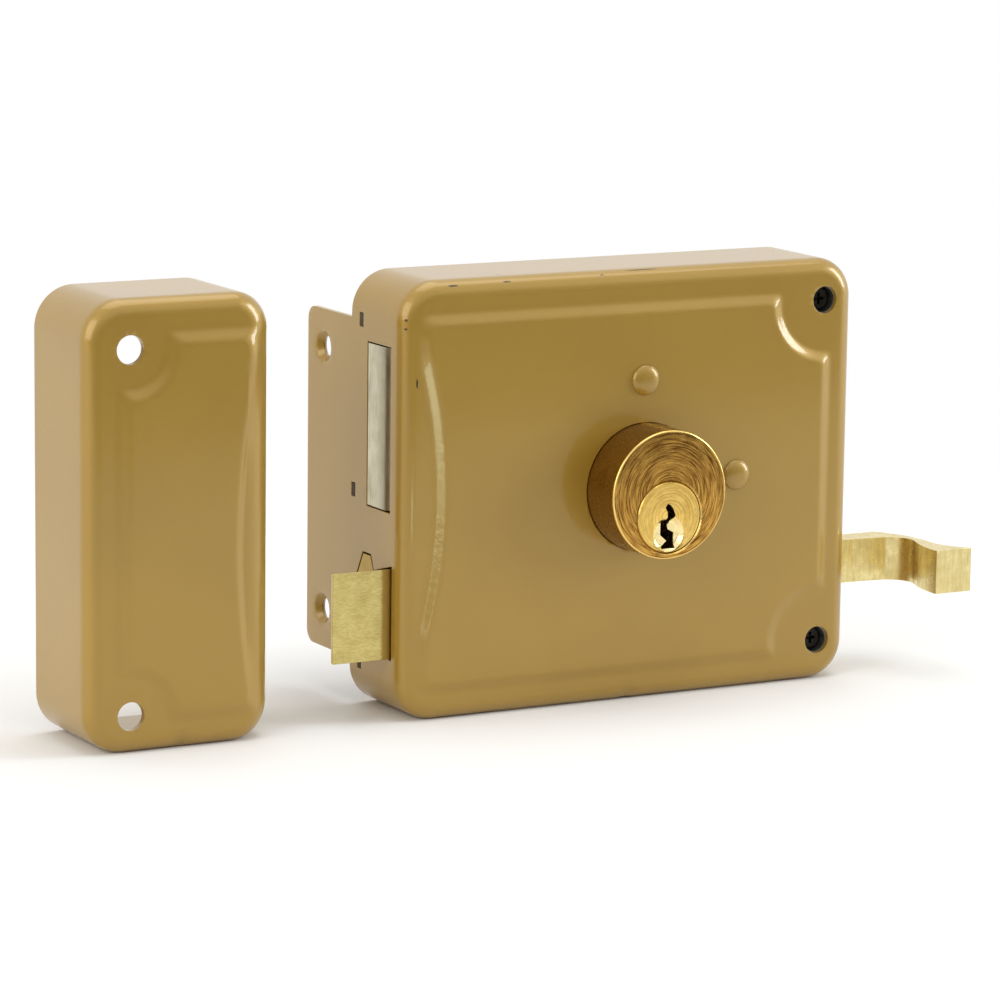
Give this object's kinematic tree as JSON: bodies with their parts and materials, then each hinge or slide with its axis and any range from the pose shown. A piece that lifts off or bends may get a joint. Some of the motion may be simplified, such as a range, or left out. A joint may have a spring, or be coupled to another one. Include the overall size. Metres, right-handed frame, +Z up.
{
  "type": "surface-mounted door lock with keep",
  "caption": "Rim door lock in a painted drawn steel case with a latch and pull, a deadbolt worked by a cylinder, and a separate drawn keep.",
  "frame": {"origin": "under the middle of the lock and its keep, on the surface they stand on", "axes": "+X from the keep to the pull, along the bolts; +Y towards the door; +Z up"},
  "size_m": [0.2176, 0.0584, 0.097],
  "materials": {
    "beige_paint": "stoved metallic beige-gold, glossy",
    "turned_brass": "turned, bright",
    "sawn_brass": "milled and sawn, pale",
    "nickel_plate": "nickel plated, satin",
    "zinc_steel": "zinc plated sheet",
    "black_steel": "blackened screws",
    "spring_steel": "bright spring wire and strip"
  },
  "bodies": {
    "case": {"back_plate": "zinc_steel", "carrier_rivets": "beige_paint", "case_shell": "beige_paint", "chamber_caps": "turned_brass", "closing_screws": "black_steel", "cylinder_body": "turned_brass", "cylinder_carrier": "zinc_steel", "cylinder_screws": "zinc_steel", "deadbolt_guide": "zinc_steel", "detent_block": "zinc_steel", "detent_spring": "spring_steel", "driver_pins": "turned_brass", "guide_posts": "zinc_steel", "keep": "beige_paint", "latch_guide": "zinc_steel", "latch_spring": "spring_steel", "pin_springs": "spring_steel", "screw_sleeves": "zinc_steel"},
    "latch": {"latch_bolt": "sawn_brass", "latch_tail": "zinc_steel", "tail_rivets": "zinc_steel", "pull_handle": "sawn_brass", "pull_rivets": "zinc_steel"},
    "deadbolt_group": {"deadbolt": "nickel_plate", "deadbolt_plate": "zinc_steel", "deadbolt_rivets": "zinc_steel"},
    "plug_group": {"plug": "turned_brass", "key_pins": "turned_brass", "cam_plate": "zinc_steel", "cam_screws": "zinc_steel", "cam_pin": "zinc_steel"}
  },
  "joints": [
    {"name": "plug_turn", "type": "hinge", "parent": "case", "child": "plug_group", "pos_m": [0.02525, -0.0235, 0.0435], "axis": [0, -1, 0], "range_deg": [0, 100]},
    {"name": "deadbolt_slide", "type": "slide", "parent": "case", "child": "deadbolt_group", "axis": [-1, 0, 0], "range_m": [0, 0.01991]},
    {"name": "latch_slide", "type": "slide", "parent": "case", "child": "latch", "axis": [1, 0, 0], "range_m": [0, 0.0145], "stiffness_N_per_m": 150, "springref_m": -0.01, "deforming": ["latch_spring"]}
  ],
  "couplings": [
    {"joint": "plug_turn", "follows": "deadbolt_slide", "rad_per_m": 87.629}
  ]
}
